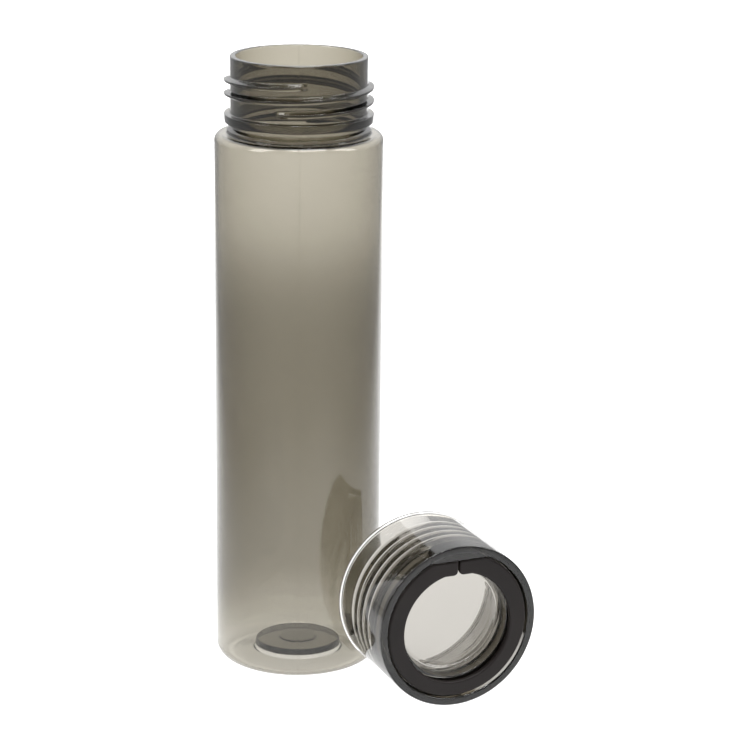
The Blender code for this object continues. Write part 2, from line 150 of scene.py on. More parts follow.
class BottleSizes(bpy.types.PropertyGroup):
    """Sizes of the bottle."""

    columns: IntProperty(name="Columns", description="Faces once round the bottle", default=192, min=24)
    body_radius: length("Body radius", (BOTTLE_HIGH.x - BOTTLE_LOW.x) / 2.0, "Outside radius of the body")
    neck_radius: length("Neck radius", 0.02595, "Outside radius of the neck between its ridges")
    neck_height: length("Neck height", 0.0290, "From the shoulder to the rim")
    neck_wall: length("Neck wall", 0.00225, "Thickness of the neck between its ridges")
    neck_bend: length("Neck bend", 0.0015, "Inside round from the neck to the shoulder")
    rim_round: length("Rim round", 0.0006, "Round of the rim's two edges")
    root_step: length("Root step", 0.0013, "How far the foot of the neck stands out")
    root_height: length("Root height", 0.0014, "Height of the foot of the neck")
    root_round: length("Root round", 0.0003, "Round of the neck's foot")
    root_top_round: length("Root top round", 0.0005, "Round where the neck's foot meets the neck")
    ridge_step: length("Ridge step", 0.00225, "How far the bead and the thread stand out")
    bead_level: length("Bead level", 0.0058, "From the shoulder to the bead's middle")
    bead_height: length("Bead height", 0.0033, "Height of the bead")
    ridge_round: length("Ridge round", 0.00035, "Round of the edges of the bead and the thread")
    thread_pitch: length("Thread pitch", 0.00508, "Distance from one turn to the next")
    thread_root_width: length("Thread root", 0.0026, "Width of the ridge at its root")
    thread_crest_width: length("Thread crest", 0.0008, "Width of the ridge at its crest")
    thread_top_depth: length("Thread depth", 0.0078, "From the rim down to the thread's upper end")
    thread_turns: number("Thread turns", 2.07, "Turns of the thread")
    thread_angle: angle("Thread angle", 255.5, "Where the thread's upper end is")
    parting_angle: angle("Parting angle", 248.8, "Where the two halves of the mould met")
    parting_width: length("Parting width", 0.0005, "Half the width of the parting line")
    parting_height: length("Parting height", 0.00016, "How far the parting line stands out")
    shoulder_round: length("Shoulder round", 0.0030, "Round of the shoulder")
    shoulder_wall: length("Shoulder wall", 0.0011, "Wall at the shoulder")
    upper_wall: length("Upper wall", 0.00121, "Wall just below the shoulder")
    upper_level: length("Upper level", 0.176, "From the ground to where the wall has its upper thickness")
    belly_wall: length("Belly wall", 0.0018, "Wall in the upper half of the body")
    belly_level: length("Belly level", 0.130, "From the ground to where the wall has its belly thickness")
    middle_wall: length("Middle wall", 0.0018, "Wall a third of the way up")
    middle_top_level: length("Middle top", 0.088, "From the ground to the upper end of the middle wall")
    middle_low_level: length("Middle low", 0.065, "From the ground to the lower end of the middle wall")
    lower_wall: length("Lower wall", 0.0017, "Wall above the foot")
    lower_level: length("Lower level", 0.032, "From the ground to where the wall has its lower thickness")
    heel_wall: length("Heel wall", 0.0008, "Wall where the body turns into the foot")
    foot_round: length("Foot round", 0.0048, "Round from the body to the foot")
    foot_ring_width: length("Foot ring", 0.0026, "Width of the ring that stands on the ground")
    foot_inner_round: length("Foot inner round", 0.0040, "Round from the foot to the channel")
    floor_round: length("Floor round", 0.0030, "Round of the inside above the foot's inner edge")
    push_up_radius: length("Push-up radius", 0.0168, "Radius of the push-up where it starts")
    push_up_draft: length("Push-up draft", 0.0008, "How much the push-up narrows")
    push_up_height: length("Push-up height", 0.0042, "From the ground to the underside of the push-up")
    push_up_round: length("Push-up round", 0.0006, "Round of the push-up's upper edge")
    channel_round: length("Channel round", 0.0008, "Round where the push-up starts")
    channel_rise: length("Channel rise", 0.0018, "From the ground to the edge of the push-up")
    channel_wall: length("Channel wall", 0.0009, "Wall between the foot and the push-up")
    gate_wall: length("Push-up wall", 0.0023, "Wall of the push-up")
    gate_radius: length("Gate radius", 0.0068, "Radius of the disc in the middle of the push-up")
    gate_height: length("Gate height", 0.0004, "Height of the disc in the middle of the push-up")
    gate_foot_round: length("Gate foot round", 0.0004, "Round where the disc rises")
    gate_edge_round: length("Gate edge round", 0.0003, "Round of the disc's edge")


class CapSizes(bpy.types.PropertyGroup):
    """Sizes of the cap's clear shell and of its seal."""

    columns: IntProperty(name="Columns", description="Faces once round the cap", default=192, min=24)
    full_length: length("Full length", 0.0393, "From the mouth to the rim round the top")
    wall: length("Wall", 0.0030, "Thickness of the skirt between its ridges")
    edge_round: length("Edge round", 0.0006, "Round of the skirt's edges")
    lip_step: length("Lip step", 0.0006, "How far the lip round the mouth stands out")
    lip_height: length("Lip height", 0.0014, "From the mouth's edge up to where the lip ends")
    lip_round: length("Lip round", 0.0003, "Round of the lip's upper corners")
    inner_round: length("Inner round", 0.00035, "Round of the inner corners")
    seal_underside: length("Seal level", 0.0287, "From the mouth to the underside of the seal")
    seal_thickness: length("Seal thickness", 0.0019, "Thickness of the seal")
    seal_round: length("Seal round", 0.0003, "Round of the seal's edges")
    gap: length("Gap", 0.0003, "Left between pieces that touch")
    deck_thickness: length("Deck thickness", 0.0052, "Thickness of the deck")
    cup_radius: length("Cup radius", 0.0229, "Outside radius of the cup that plugs the neck")
    cup_wall: length("Cup wall", 0.0017, "Thickness of the cup")
    cup_floor_wall: length("Cup floor wall", 0.0042, "Thickness of the cup's floor")
    cup_draft: length("Cup draft", 0.0010, "How much the cup narrows inside")
    cup_drop: length("Cup drop", 0.0025, "How far the cup's floor lies below the deck's underside")
    cup_round: length("Cup round", 0.0020, "Inside round of the cup")
    ridge_step: length("Ridge step", 0.00225, "How far the thread stands in")
    ridge_round: length("Ridge round", 0.00035, "Round of the edges of the thread")
    thread_pitch: length("Thread pitch", 0.00508, "Distance from one turn to the next")
    thread_root_width: length("Thread root", 0.0020, "Width of the ridge at its root")
    thread_crest_width: length("Thread crest", 0.0007, "Width of the ridge at its crest")
    thread_top: length("Thread top", 0.0262, "From the mouth to the thread's inner end")
    thread_turns: number("Thread turns", 3.5, "Turns of the thread")
    thread_angle: angle("Thread angle", 200.0, "Where the thread's inner end is")


class LoopSizes(bpy.types.PropertyGroup):
    """Sizes of the carry loop and of its root."""

    columns: IntProperty(name="Columns", description="Faces along the loop", default=160, min=24)
    thickness: length("Thickness", 0.0024, "Thickness of the loop")
    recess: length("Recess", 0.0005, "How far the loop lies below the cap's rim")
    width: length("Width", 0.0065, "Width of the loop")
    hole_drop: length("Hole drop", 0.0008, "How far the hole's middle lies away from the slit")
    side_gap: length("Side gap", 0.0006, "Left between the loop and the wall of its groove")
    edge_round: length("Edge round", 0.0009, "Round of the loop's edges")
    slit_width: length("Slit", 0.0005, "Width of the slit in the loop")
    notch_round: length("Notch", 0.0018, "Round of the corners beside the slit")
    flat_setback: length("Outer flat", 0.0021, "How far the straight outer edge lies inside the circle")
    inner_setback: length("Inner flat", 0.0007, "How far the straight inner edge lies inside the circle")
    tab_half_width: length("Tab half width", 0.0102, "Half the width of the root tab")
    tab_round: length("Tab round", 0.0052, "Round of the root tab's end")
    tab_step: length("Tab step", 0.0014, "How far the tab stops above the seal's underside")
    tab_let_in: length("Tab let in", 0.0002, "How far the tab's pocket is let into the wall")
    tab_bite: length("Tab bite", 0.00003, "How far the tab is moulded into the clear wall round it")
    roof_thickness: length("Roof thickness", 0.0014, "Thickness of the roof over the tab")
    roof_step: length("Roof step", 0.0002, "How far the roof lies below the rim")


class PlasticLook(bpy.types.PropertyGroup):
    """Colours of the materials."""

    bottle_tint: triple("Bottle tint", (0.580, 0.612, 0.701), "Absorption of each colour in a millimetre")
    cap_tint: triple("Cap tint", (0.212, 0.221, 0.239), "Absorption of each colour in a millimetre")
    refraction: number("Refraction", 1.52, "Index of refraction of the clear plastic")
    loop_colour: triple("Loop colour", (0.0095, 0.0070, 0.0065), "Colour of the soft plastic", "COLOR")
    loop_refraction: number("Loop refraction", 1.3, "Index of refraction of the soft plastic")
    seal_colour: triple("Seal colour", (0.160, 0.155, 0.145), "Colour of the seal", "COLOR")
    seal_refraction: number("Seal refraction", 1.5, "Index of refraction of the seal")


class StudioLook(bpy.types.PropertyGroup):
    """The floor, the lights and the camera."""

    back_glow: number("Back glow", 1.85, "Light that the far floor gives off")
    middle_glow: number("Middle glow", 1.4, "Light that the floor behind the bottle gives off")
    near_glow: number("Near glow", 1.27, "Light that the floor round the bottle gives off")
    side_glow: number("Side glow", 0.35, "Light that the floor's far left and right give off")
    front_glow: number("Front glow", 0.28, "Light that the camera's side gives off")
    glow_spread: angle("Glow spread", 9.0, "How far each edge of the floor's bright part turns outward")
    floor_shade: number("Floor shade", 0.20, "Share of the light that the floor throws back")
    sky_low: number("Low sky", 0.95, "Brightness of the far surroundings near the ground")
    sky_band: number("Sky band", 1.9, "Brightness of the far surroundings above it")
    sky_high: number("High sky", 1.2, "Brightness of the surroundings overhead")
    box_power: number("Softbox power", 9.0, "Power of a softbox whose share is 1", "POWER")
    camera_place: triple(
        "Camera place", (-0.38112, -0.89879, 0.39980), "Where the camera stands", "TRANSLATION")
    camera_turn: angle("Camera turn", 23.255, "How far the camera looks to the right of +Y")
    camera_pitch: angle("Camera pitch", 16.161, "How far the camera looks down")
    camera_roll: angle("Camera roll", 0.630, "How far the camera leans")
    lens: number("Lens", 128.42, "Focal length in millimetres")


def arc(centre, radius, start_degrees, end_degrees, steps):
    """Points on an arc in a plane, both ends included."""
    points = []
    for step in range(steps + 1):
        turn = math.radians(start_degrees + (end_degrees - start_degrees) * step / steps)
        points.append((centre[0] + radius * math.cos(turn), centre[1] + radius * math.sin(turn)))
    return points


def rounded(corners, steps=FILLET_STEPS):
    """Points of an open outline in which each corner (across, along, radius) has become an arc."""
    points = []
    for index, (across, along, radius) in enumerate(corners):
        corner = Vector((across, along))
        if radius <= 0.0 or index in (0, len(corners) - 1):
            points.append((across, along))
            continue
        back = (Vector(corners[index - 1][:2]) - corner).normalized()
        ahead = (Vector(corners[index + 1][:2]) - corner).normalized()
        half = back.angle(ahead) / 2.0
        centre = corner + (back + ahead).normalized() * (radius / math.sin(half))
        start = corner + back * (radius / math.tan(half)) - centre
        end = corner + ahead * (radius / math.tan(half)) - centre
        sweep = math.pi - 2.0 * half
        for step in range(steps + 1):
            share = step / steps
            blend = start * math.sin((1.0 - share) * sweep) + end * math.sin(share * sweep)
            spot = centre + blend / math.sin(sweep)
            points.append((spot.x, spot.y))
    return points


def smooth(share):
    """Ease a share between zero and one."""
    share = min(1.0, max(0.0, share))
    return share * share * (3.0 - 2.0 * share)


def through(knots, place):
    """The value at a place on a smooth curve through (place, value) knots in rising order."""
    if place <= knots[0][0]:
        return knots[0][1]
    for (low, low_value), (high, high_value) in zip(knots, knots[1:]):
        if place <= high:
            return low_value + (high_value - low_value) * smooth((place - low) / (high - low))
    return knots[-1][1]


def finish_mesh(shape, name, matrix):
    """Weld a bmesh, turn its faces outward and make it an object in the scene."""
    bmesh.ops.remove_doubles(shape, verts=shape.verts, dist=WELD)
    bmesh.ops.dissolve_degenerate(shape, edges=shape.edges, dist=WELD)
    bmesh.ops.recalc_face_normals(shape, faces=shape.faces)
    mesh = bpy.data.meshes.new(name)
    shape.to_mesh(mesh)
    shape.free()
    mesh.transform(matrix)
    piece = bpy.data.objects.new(name, mesh)
    bpy.context.scene.collection.objects.link(piece)
    return piece


def turned(name, columns, matrix, closed=False):
    """A mesh over (turn, outline) columns. The last column lies on the first and is welded to it."""
    shape = bmesh.new()
    rings = []
    for turn, outline in columns:
        cosine, sine = math.cos(turn), math.sin(turn)
        spots = [(radius * cosine, radius * sine, height) for radius, height in outline]
        rings.append([shape.verts.new(spot) for spot in spots])
    for near, far in zip(rings, rings[1:]):
        if closed:
            near, far = near + near[:1], far + far[:1]
        for corner in range(len(near) - 1):
            shape.faces.new((near[corner], near[corner + 1], far[corner + 1], far[corner]))
    return finish_mesh(shape, name, matrix)


def extruded(name, outline, low, high, matrix):
    """Extrude a closed outline of (x, y) points from one height to another."""
    shape = bmesh.new()
    face = shape.faces.new([shape.verts.new((x, y, low)) for x, y in outline])
    lifted = bmesh.ops.extrude_face_region(shape, geom=[face])["geom"]
    risen = [part for part in lifted if isinstance(part, bmesh.types.BMVert)]
    bmesh.ops.translate(shape, verts=risen, vec=(0.0, 0.0, high - low))
    return finish_mesh(shape, name, matrix)


def thread_section(sizes, side):
    """The ridge's section from its upper to its lower flank, as (offset along the wall, rise from it)."""
    root_half, crest_half = sizes.thread_root_width / 2.0, sizes.thread_crest_width / 2.0
    root_round = sizes.ridge_round
    crest_round = root_round * CREST_ROUND_SHARE
    end = root_half + root_round * SECTION_MARGIN
    step = side * sizes.ridge_step
    return rounded([
        (end, 0.0, 0.0), (root_half, 0.0, root_round), (crest_half, step, crest_round),
        (-crest_half, step, crest_round), (-root_half, 0.0, root_round), (-end, 0.0, 0.0),
    ])


def thread_rows(sizes, section, wall_radius, top, low, high, column_turns):
    """Points down a threaded wall, on the column that lies a share of a turn behind the thread's start."""
    pitch, reach = sizes.thread_pitch, section[0][0]
    first = math.floor((top - high - reach) / pitch) - 1
    last = math.ceil((top - low + reach) / pitch)
    rows = [(wall_radius, high)]
    for slot in range(first, last + 1):
        turn = slot + column_turns
        grown = min(turn, sizes.thread_turns - turn) / THREAD_FADE_TURNS
        share = math.sin(min(1.0, max(0.0, grown)) * math.pi / 2.0)
        for offset, rise in section:
            level = top - turn * pitch + offset
            rows.append((wall_radius + rise * share, min(high, max(low, level))))
    rows.append((wall_radius, low))
    return rows


def apply_tool(piece, tool, operation):
    """Cut or join a piece with a tool shape for good, and remove the tool."""
    modifier = piece.modifiers.new(tool.name, "BOOLEAN")
    modifier.solver = "EXACT"
    modifier.operation = operation
    modifier.object = tool
    bpy.context.view_layer.update()
    shown = piece.evaluated_get(bpy.context.evaluated_depsgraph_get())
    mesh = bpy.data.meshes.new_from_object(shown)
    piece.modifiers.clear()
    old = piece.data
    piece.data = mesh
    bpy.data.meshes.remove(old)
    bpy.data.meshes.remove(tool.data)


def dress(piece, material, body, slot, *nodes):
    """Give a piece its material and its body, and hide the nodes that it stands for. The slot is not used."""
    piece.data.materials.clear()
    piece.data.materials.append(material)
    piece.data.shade_smooth()
    piece.data.set_sharp_from_angle(angle=SHARP_ANGLE)
    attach(piece, body)
    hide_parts(*nodes)


def bottle_floor(sizes):
    """The underside from its middle to the foot, and the floor inside from the foot to its middle."""
    foot_outer = sizes.body_radius - sizes.foot_round
    foot_inner = foot_outer - sizes.foot_ring_width
    top_radius = sizes.push_up_radius - sizes.push_up_draft
    outside = rounded([
        (0.0, sizes.push_up_height, 0.0), (top_radius, sizes.push_up_height, sizes.push_up_round),
        (sizes.push_up_radius, sizes.channel_rise, sizes.channel_round),
        (foot_inner, 0.0, sizes.foot_inner_round), (foot_outer, 0.0, 0.0),
    ])
    step_low = sizes.channel_rise + sizes.channel_wall
    step_high = sizes.push_up_height + sizes.gate_wall
    gate_top = step_high + sizes.gate_height
    inside = rounded([
        (foot_outer, sizes.heel_wall, 0.0), (foot_inner, sizes.heel_wall, sizes.floor_round),
        (sizes.push_up_radius, step_low, sizes.channel_round), (top_radius, step_high, sizes.push_up_round),
        (sizes.gate_radius + sizes.gate_height, step_high, sizes.gate_foot_round),
        (sizes.gate_radius, gate_top, sizes.gate_edge_round), (0.0, gate_top, 0.0),
    ])
    return outside, inside


def body_walls(sizes, shoulder):
    """The body's wall thickness as knots from the heel to the shoulder."""
    return (
        (sizes.foot_round, sizes.heel_wall), (sizes.lower_level, sizes.lower_wall),
        (sizes.middle_low_level, sizes.middle_wall), (sizes.middle_top_level, sizes.middle_wall),
        (sizes.belly_level, sizes.belly_wall), (sizes.upper_level, sizes.upper_wall),
        (shoulder, sizes.shoulder_wall),
    )


def bottle_column(sizes, section, column_turns, parting):
    """The bottle's outline on one column, from the middle of its underside to the middle of its floor."""
    shoulder = BOTTLE_HEIGHT - sizes.neck_height
    foot_centre = (sizes.body_radius - sizes.foot_round, sizes.foot_round)
    round_radius = sizes.body_radius - sizes.shoulder_round
    bead_low = shoulder + sizes.bead_level - sizes.bead_height / 2.0
    bead_high = bead_low + sizes.bead_height
    bead_radius = sizes.neck_radius + sizes.ridge_step
    root_radius = sizes.neck_radius + sizes.root_step
    root_top = shoulder + sizes.root_height
    bore = sizes.neck_radius - sizes.neck_wall
    inner_shoulder = shoulder - sizes.shoulder_wall
    fine = sizes.ridge_round
    thread_low, thread_high = bead_high + fine, BOTTLE_HEIGHT - sizes.rim_round

    under, inside = bottle_floor(sizes)
    side = arc(foot_centre, sizes.foot_round, -90.0, 0.0, OUTER_ROUND_STEPS)
    side += [(sizes.body_radius, shoulder * row / BODY_ROWS) for row in range(1, BODY_ROWS)]
    shoulder_centre = (round_radius, shoulder - sizes.shoulder_round)
    side += arc(shoulder_centre, sizes.shoulder_round, 0.0, 90.0, OUTER_ROUND_STEPS)
    side += rounded([
        (round_radius, shoulder, 0.0), (root_radius, shoulder, sizes.root_round),
        (root_radius, root_top, sizes.root_round),
        (sizes.neck_radius, root_top + sizes.root_step, sizes.root_top_round),
        (sizes.neck_radius, bead_low, fine), (bead_radius, bead_low, fine), (bead_radius, bead_high, fine),
        (sizes.neck_radius, bead_high, fine), (sizes.neck_radius, thread_low, 0.0),
    ])
    top = BOTTLE_HEIGHT - sizes.thread_top_depth
    threaded = thread_rows(sizes, section, sizes.neck_radius, top, thread_low, thread_high, column_turns)
    side += reversed(threaded)
    side = [(radius + parting, height) for radius, height in side]

    walls = body_walls(sizes, shoulder)
    inner_low, inner_high = sizes.foot_round, shoulder_centre[1]
    back = rounded([
        (sizes.neck_radius, thread_high, 0.0), (sizes.neck_radius, BOTTLE_HEIGHT, sizes.rim_round),
        (bore, BOTTLE_HEIGHT, sizes.rim_round), (bore, thread_high, 0.0),
    ])
    bend = sizes.neck_bend
    back += arc((bore + bend, inner_shoulder + bend), bend, 180.0, 270.0, INNER_ROUND_STEPS)
    back += arc(shoulder_centre, sizes.shoulder_round - sizes.shoulder_wall, 90.0, 0.0, INNER_ROUND_STEPS)
    for row in range(WALL_ROWS + 1):
        height = inner_high + (inner_low - inner_high) * row / WALL_ROWS
        back.append((sizes.body_radius - through(walls, height), height))
    back += arc(foot_centre, sizes.foot_round - sizes.heel_wall, 0.0, -90.0, INNER_ROUND_STEPS)
    return under + side + back + inside


def parting_columns(sizes):
    """Column places as shares of a turn behind the thread's start, closer along the parting line."""
    places = [column / sizes.columns for column in range(sizes.columns)]
    width = sizes.parting_width / sizes.neck_radius / FULL_TURN
    for half in (0.0, 0.5):
        middle = (sizes.thread_angle - sizes.parting_angle) / FULL_TURN + half
        places += [(middle + width * share) % 1.0 for share in (-1.0, -0.5, 0.0, 0.5, 1.0)]
    return sorted(places) + [1.0]


def parting_rise(sizes, turn):
    """How far the parting line stands out at a turn round the bottle."""
    away = (turn - sizes.parting_angle + math.pi / 2.0) % math.pi - math.pi / 2.0
    share = abs(away) * sizes.neck_radius / sizes.parting_width
    return sizes.parting_height * smooth(1.0 - share)


def moulded_surface():
    """The node group that gives every moulded piece its faint unevenness in tone, gloss and height."""
    found = bpy.data.node_groups.get("moulded_surface")
    if found:
        return found
    group = bpy.data.node_groups.new("moulded_surface", "ShaderNodeTree")
    face = group.interface
    for name in (
        "Flow Scale", "Grain Scale", "Tone Low", "Tone High", "Gloss Low", "Gloss High", "Grain Height",
    ):
        face.new_socket(name, in_out="INPUT", socket_type="NodeSocketFloat")
    face.new_socket("Colour", in_out="INPUT", socket_type="NodeSocketColor")
    face.new_socket("Colour", in_out="OUTPUT", socket_type="NodeSocketColor")
    face.new_socket("Roughness", in_out="OUTPUT", socket_type="NodeSocketFloat")
    face.new_socket("Height", in_out="OUTPUT", socket_type="NodeSocketFloat")
    nodes, links = group.nodes, group.links
    entry, leave = nodes.new("NodeGroupInput"), nodes.new("NodeGroupOutput")
    coordinate = nodes.new("ShaderNodeTexCoord")
    flow, grain = nodes.new("ShaderNodeTexNoise"), nodes.new("ShaderNodeTexNoise")
    for texture, scale in ((flow, "Flow Scale"), (grain, "Grain Scale")):
        links.new(coordinate.outputs["Object"], texture.inputs["Vector"])
        links.new(entry.outputs[scale], texture.inputs["Scale"])
        texture.inputs["Detail"].default_value = NOISE_DETAIL
    tone, gloss = nodes.new("ShaderNodeMapRange"), nodes.new("ShaderNodeMapRange")
    for mapping, source, label in ((tone, flow, "Tone"), (gloss, grain, "Gloss")):
        links.new(source.outputs["Fac"], mapping.inputs["Value"])
        mapping.inputs["From Min"].default_value = NOISE_LOW
        mapping.inputs["From Max"].default_value = NOISE_HIGH
        links.new(entry.outputs[label + " Low"], mapping.inputs["To Min"])
        links.new(entry.outputs[label + " High"], mapping.inputs["To Max"])
    shade = nodes.new("ShaderNodeVectorMath")
    shade.operation = "SCALE"
    links.new(entry.outputs["Colour"], shade.inputs[0])
    links.new(tone.outputs["Result"], shade.inputs["Scale"])
    height = nodes.new("ShaderNodeMath")
    height.operation = "MULTIPLY_ADD"
    links.new(grain.outputs["Fac"], height.inputs[0])
    links.new(entry.outputs["Grain Height"], height.inputs[1])
    links.new(flow.outputs["Fac"], height.inputs[2])
    links.new(shade.outputs["Vector"], leave.inputs["Colour"])
    links.new(gloss.outputs["Result"], leave.inputs["Roughness"])
    links.new(height.outputs["Value"], leave.inputs["Height"])
    return group


def moulded_material(name, colour, values, bump_distance, bump_strength):
    """A Principled material over the moulded surface group. The caller sets what is the same all over."""
    material = bpy.data.materials.new(name)
    material.use_nodes = True
    nodes, links = material.node_tree.nodes, material.node_tree.links
    shader = nodes["Principled BSDF"]
    surface = nodes.new("ShaderNodeGroup")
    surface.node_tree = moulded_surface()
    surface.inputs["Colour"].default_value = (*colour, 1.0)
    for key, value in values.items():
        surface.inputs[key].default_value = value
    bump = nodes.new("ShaderNodeBump")
    bump.inputs["Distance"].default_value = bump_distance
    bump.inputs["Strength"].default_value = bump_strength
    links.new(surface.outputs["Colour"], shader.inputs["Base Color"])
    links.new(surface.outputs["Roughness"], shader.inputs["Roughness"])
    links.new(surface.outputs["Height"], bump.inputs["Height"])
    links.new(bump.outputs["Normal"], shader.inputs["Normal"])
    return material, shader


def clear_plastic(name, tint):
    """Smoky clear plastic, whose colour grows with the thickness that light passes."""
    look = bpy.context.scene.plastic_look
    values = {
        "Flow Scale": 45.0, "Grain Scale": 900.0, "Tone Low": 0.985, "Tone High": 1.0, "Gloss Low": 0.0,
        "Gloss High": 0.03, "Grain Height": 0.0,
    }
    material, shader = moulded_material(
        name, (1.0, 1.0, 1.0), values, bump_distance=0.0002, bump_strength=0.05)
    shader.inputs["IOR"].default_value = look.refraction
    shader.inputs["Transmission Weight"].default_value = 1.0
    nodes, links = material.node_tree.nodes, material.node_tree.links
    absorb = nodes.new("ShaderNodeVolumeAbsorption")
    per_metre = [amount * PER_METRE for amount in tint]
    density = max(per_metre) * ABSORPTION_MARGIN
    absorb.inputs["Color"].default_value = (*(1.0 - take / density for take in per_metre), 1.0)
    absorb.inputs["Density"].default_value = density
    links.new(absorb.outputs["Volume"], nodes["Material Output"].inputs["Volume"])
    return material


def soft_plastic():
    """Satin black flexible plastic of the carry loop and its root."""
    look = bpy.context.scene.plastic_look
    values = {
        "Flow Scale": 80.0, "Grain Scale": 3500.0, "Tone Low": 0.85, "Tone High": 1.15, "Gloss Low": 0.38,
        "Gloss High": 0.52, "Grain Height": 0.6,
    }
    material, shader = moulded_material(
        "satin_loop_plastic", look.loop_colour, values, bump_distance=0.0001, bump_strength=0.25)
    shader.inputs["IOR"].default_value = look.loop_refraction
    return material


def seal_rubber():
    """Matt grey rubber of the seal."""
    look = bpy.context.scene.plastic_look
    values = {
        "Flow Scale": 90.0, "Grain Scale": 2500.0, "Tone Low": 0.8, "Tone High": 1.1, "Gloss Low": 0.55,
        "Gloss High": 0.72, "Grain Height": 0.8,
    }
    material, shader = moulded_material(
        "matt_seal_rubber", look.seal_colour, values, bump_distance=0.0001, bump_strength=0.3)
    shader.inputs["IOR"].default_value = look.seal_refraction
    return material


class MakeBottle(bpy.types.Operator):
    """Make the clear bottle"""

    bl_idname = "mesh.make_tinted_bottle"
    bl_label = "Clear bottle"

    def execute(self, context):
        sizes = context.scene.bottle_sizes
        section = thread_section(sizes, 1.0)
        columns = []
        for place in parting_columns(sizes):
            turn = sizes.thread_angle - place * FULL_TURN
            columns.append((turn, bottle_column(sizes, section, place, parting_rise(sizes, turn))))
        stand = Matrix.Translation((BOTTLE_AXIS.x, BOTTLE_AXIS.y, 0.0))
        bottle = turned("clear_bottle", columns, stand)
        plastic = clear_plastic("smoky_clear_plastic", context.scene.plastic_look.bottle_tint)
        dress(bottle, plastic, "bottle", "tinted_plastic", "bottle_body")
        return {"FINISHED"}


def cap_hold(cap):
    """Where the cap lies: on its lip and on the edge of its top, so that its axis leans down to the top."""
    flat = cap.lip_height - cap.lip_step
    lean = math.atan(cap.lip_step / (cap.full_length - cap.edge_round - flat))
    level = CAP_LIP_RADIUS * math.cos(lean) + flat * math.sin(lean)
    top_radius = CAP_LIP_RADIUS - cap.lip_step - cap.edge_round
    reach = cap.full_length * math.cos(lean) + top_radius * math.sin(lean)
    place = Matrix.Translation(((CAP_LOW.x + CAP_HIGH.x) / 2.0, CAP_LOW.y + reach, level))
    return place @ Matrix.Rotation(math.radians(90.0) + lean, 4, "X")


def cap_levels(cap, loop):
    """Levels and radii that the cap's pieces share, by name."""
    radius = CAP_LIP_RADIUS - cap.lip_step
    bore = radius - cap.wall
    seal_top = cap.seal_underside + cap.seal_thickness
    deck_underside = seal_top + cap.gap
    loop_top = cap.full_length - loop.recess
    loop_outer = bore - loop.side_gap
    roof_top = cap.full_length - loop.roof_step
    return {
        "radius": radius, "bore": bore, "seal_top": seal_top, "deck_underside": deck_underside,
        "deck_top": deck_underside + cap.deck_thickness, "loop_top": loop_top, "loop_outer": loop_outer,
        "loop_inner": loop_outer - loop.width, "flat": loop_outer - loop.flat_setback, "roof_top": roof_top,
        "roof_underside": roof_top - loop.roof_thickness, "tab_end": cap.seal_underside + loop.tab_step,
        "cup_floor": deck_underside - cap.cup_drop,
    }


def cap_column(cap, at, section, column_turns):
    """The shell's outline on one column, from the middle of the cup's floor to that of its underside."""
    fine, edge = cap.inner_round, cap.edge_round
    mouth_radius = cap.cup_radius - cap.cup_wall
    low_radius = mouth_radius - cap.cup_draft
    under_floor = at["cup_floor"] - cap.cup_floor_wall
    outer_low = low_radius + cap.cup_wall
    outer_round = cap.cup_round + cap.cup_wall * CUP_ROUND_SHARE
    bore, radius = at["bore"], at["radius"]
    lip_flat = cap.lip_height - cap.lip_step
    thread_low, thread_high = edge, at["deck_underside"] - fine
    outline = rounded([
        (0.0, at["cup_floor"], 0.0), (low_radius, at["cup_floor"], cap.cup_round),
        (mouth_radius, at["deck_top"], fine), (bore, at["deck_top"], fine),
        (bore, cap.full_length, edge), (radius, cap.full_length, edge),
        (radius, cap.lip_height, cap.lip_round), (CAP_LIP_RADIUS, lip_flat, cap.lip_round),
        (CAP_LIP_RADIUS, 0.0, cap.lip_round), (bore, 0.0, edge * CORNER_ROUND_SHARE), (bore, thread_low, 0.0),
    ], CAP_FILLET_STEPS)
    threaded = thread_rows(cap, section, bore, cap.thread_top, thread_low, thread_high, column_turns)
    outline += reversed(threaded)
    outline += rounded([
        (bore, thread_high, 0.0), (bore, at["deck_underside"], fine * CORNER_ROUND_SHARE),
        (cap.cup_radius, at["deck_underside"], fine), (outer_low, under_floor, outer_round),
        (0.0, under_floor, 0.0),
    ], CAP_FILLET_STEPS)
    return outline


def half_moon(name, radius, flat_y, low, high, hold):
    """A prism over the part of a disc that lies beyond a straight line across it."""
    reach = math.degrees(math.asin(flat_y / radius))
    outline = arc((0.0, 0.0), radius, reach, 180.0 - reach, HALF_MOON_STEPS)
    return extruded(name, outline, low, high, hold)


def tab_limit(loop, at, clearance, hold):
    """A bar across the cap, square to the tab, which gives the tab its sides and its rounded lower end."""
    half_width, end_round = loop.tab_half_width + clearance, loop.tab_round + clearance
    level = at["tab_end"] - clearance + end_round
    top = at["roof_top"] * TOOL_REACH
    outline = [(half_width, top), (-half_width, top)]
    outline += arc((end_round - half_width, level), end_round, 180.0, 270.0, TAB_ROUND_STEPS)
    outline += arc((half_width - end_round, level), end_round, 270.0, 360.0, TAB_ROUND_STEPS)
    across = Matrix.Rotation(math.radians(90.0), 4, "X")
    return extruded("tab_limit", outline, -at["radius"] * TOOL_REACH, 0.0, hold @ across)


